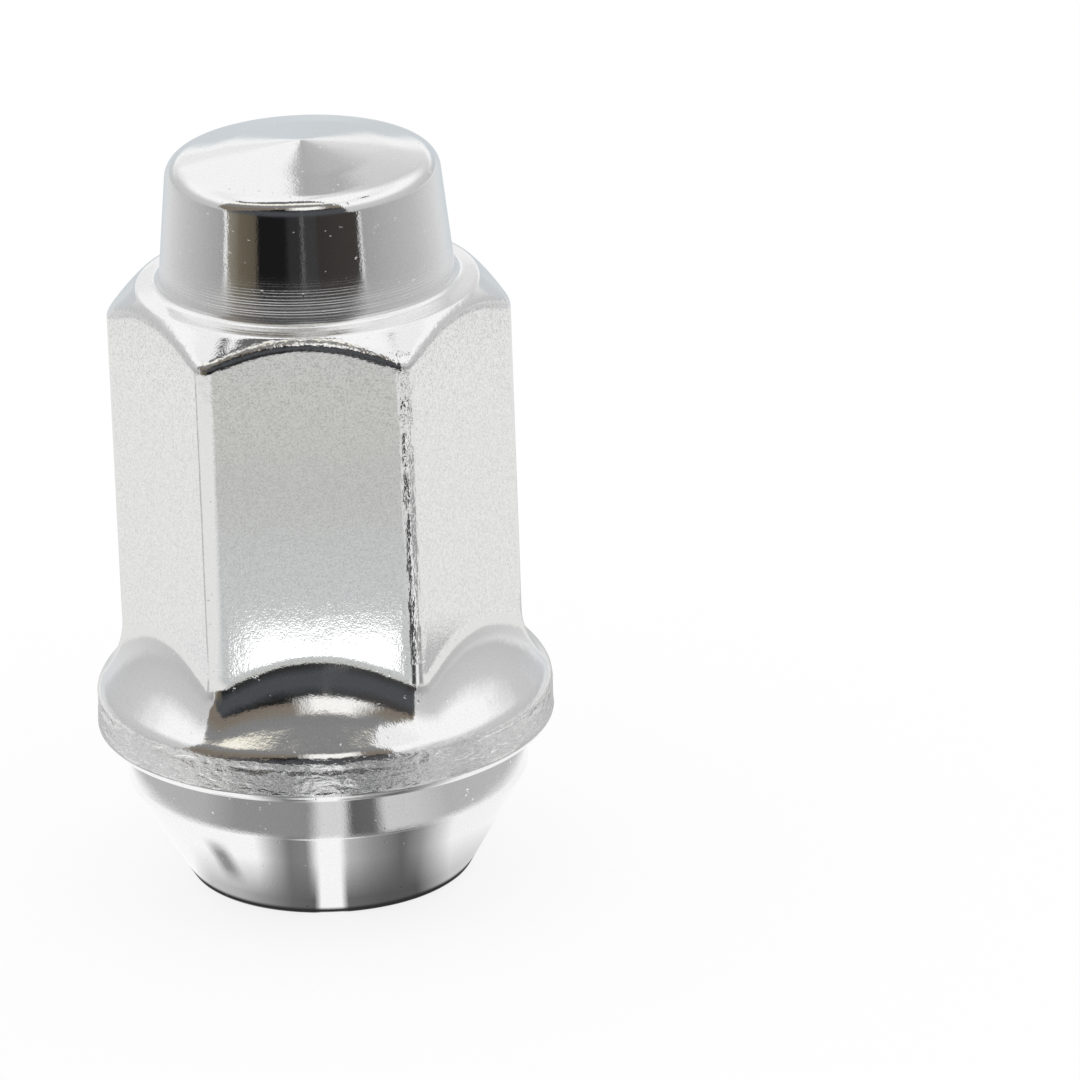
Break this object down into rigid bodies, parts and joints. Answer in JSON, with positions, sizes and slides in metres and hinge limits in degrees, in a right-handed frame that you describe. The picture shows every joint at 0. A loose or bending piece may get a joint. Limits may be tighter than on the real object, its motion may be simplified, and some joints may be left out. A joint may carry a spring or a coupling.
{
  "type": "acorn lug nut",
  "caption": "Closed-end wheel lug nut with a wrench hexagon, a flared flange, a conical seat and a blind threaded hole, standing on its mouth.",
  "frame": {"origin": "centre of the mouth face, where the nut stands", "axes": "+Z along the nut's axis from the open mouth to the closed end; +Y across flats, +X across corners"},
  "size_m": [0.0286, 0.0286, 0.0478],
  "materials": {
    "chrome_plate": "bright chrome plate over forged steel, satin on the flats, rough on the flange rim"
  },
  "bodies": {
    "root": {"lug_nut": "chrome_plate"}
  },
  "joints": []
}
